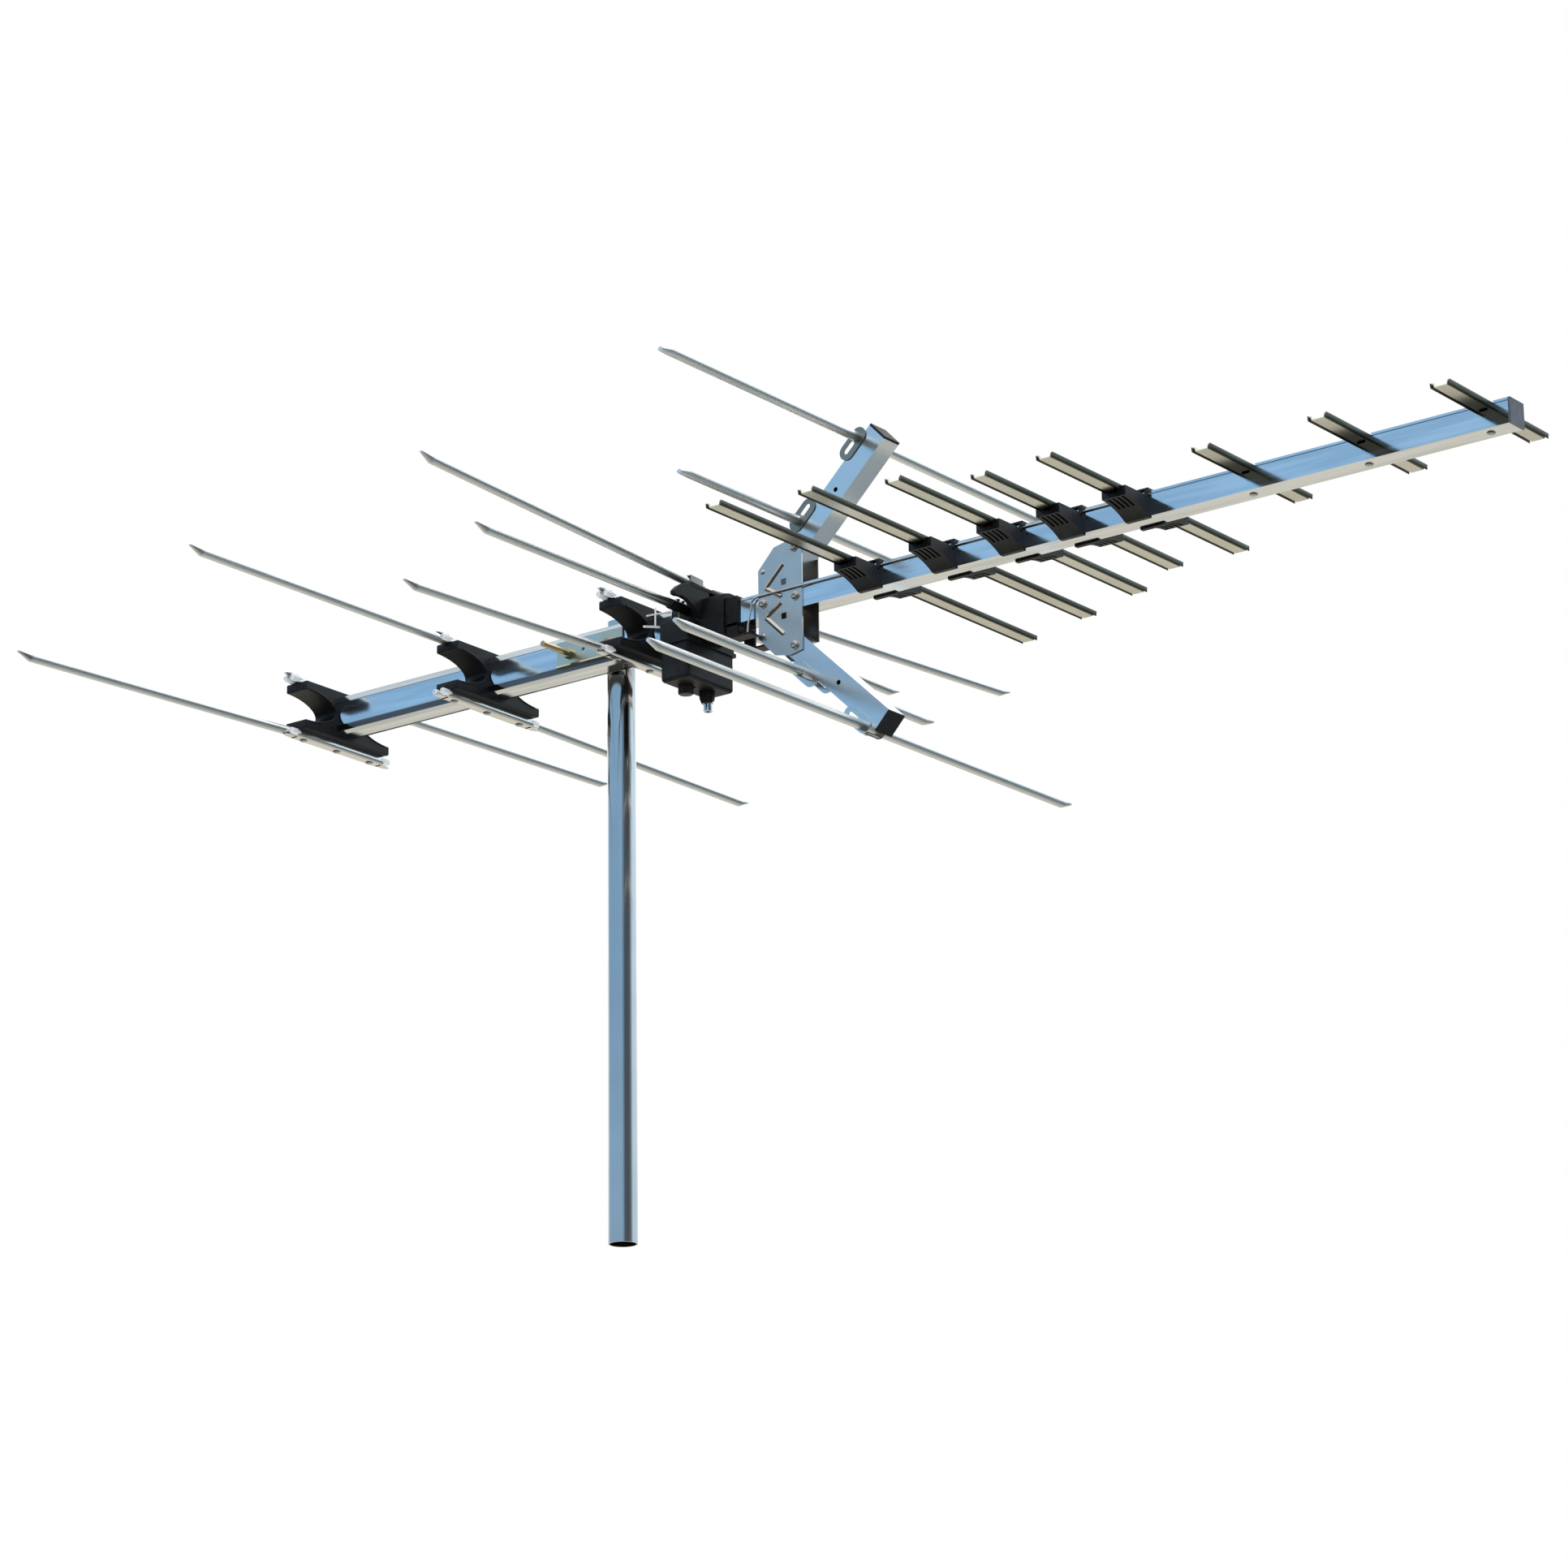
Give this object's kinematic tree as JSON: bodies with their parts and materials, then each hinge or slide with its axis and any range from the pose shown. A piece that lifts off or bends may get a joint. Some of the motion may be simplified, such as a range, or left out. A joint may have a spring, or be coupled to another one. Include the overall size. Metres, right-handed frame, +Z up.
{
  "type": "outdoor tv antenna",
  "caption": "Combination yagi TV antenna: square boom with trough UHF elements, corner reflector, VHF rods on moulded brackets, balun box and a short mast tube.",
  "frame": {"origin": "centre of the mast tube's cut foot", "axes": "+X forward along the boom, towards the directors; +Z up along the mast; +Y across, to the side on which the mast stands"},
  "size_m": [1.4856, 0.9589, 0.7805],
  "materials": {
    "galvanised": "bright galvanised tube",
    "boom_metal": "bright drawn aluminium",
    "plate_metal": "pressed sheet, satin",
    "element_metal": "roll-formed, satin",
    "rod_metal": "drawn tube, satin",
    "channel_metal": "bright zinc plated",
    "yellow_zinc": "yellow passivated zinc",
    "fastener_metal": "bright zinc plated",
    "black_plastic": "moulded, fine texture",
    "slate_plastic": "moulded",
    "board": "printed board",
    "ferrite": "sintered",
    "copper": "bare wire",
    "socket_metal": "nickel plated",
    "black_rubber": "moulded"
  },
  "bodies": {
    "root": {"arm_caps": "black_plastic", "balun_board": "board", "balun_housing": "black_plastic", "balun_lid": "black_plastic", "balun_transformer": "ferrite", "boom_joint_liner": "black_plastic", "coaxial_socket": "socket_metal", "connector_boot": "black_rubber", "corner_plate_left": "plate_metal", "corner_plate_right": "plate_metal", "director_1": "element_metal", "director_2": "element_metal", "director_3": "element_metal", "driven_bracket": "black_plastic", "driven_rods": "rod_metal", "element_bracket_1": "black_plastic", "element_bracket_2": "black_plastic", "element_bracket_3": "black_plastic", "feed_wires": "copper", "folded_rods": "rod_metal", "front_boom": "boom_metal", "front_boom_cap": "slate_plastic", "locking_knob": "black_plastic", "lower_arm": "boom_metal", "mast": "galvanised", "mast_clamp_nuts": "fastener_metal", "mast_clamp_plate": "yellow_zinc", "mast_saddle": "yellow_zinc", "mast_u_bolt": "yellow_zinc", "passive_rods_1": "rod_metal", "passive_rods_2": "rod_metal", "passive_rods_3": "rod_metal", "phasing_wires": "rod_metal", "plate_bolts": "fastener_metal", "rear_boom": "boom_metal", "rear_boom_plug": "black_plastic", "reflector_rod_lower_inner": "rod_metal", "reflector_rod_lower_outer": "rod_metal", "reflector_rod_upper_inner": "rod_metal", "reflector_rod_upper_outer": "rod_metal", "rivets": "fastener_metal", "rod_channels_1": "channel_metal", "rod_channels_2": "channel_metal", "rod_channels_3": "channel_metal", "rod_clips": "channel_metal", "rod_straps": "channel_metal", "terminal_screws": "fastener_metal", "uhf_clamp_1": "black_plastic", "uhf_clamp_2": "black_plastic", "uhf_clamp_3": "black_plastic", "uhf_clamp_4": "black_plastic", "uhf_clamp_5": "black_plastic", "uhf_element_1": "element_metal", "uhf_element_2": "element_metal", "uhf_element_3": "element_metal", "uhf_element_4": "element_metal", "uhf_element_5": "element_metal", "upper_arm": "boom_metal"}
  },
  "joints": []
}
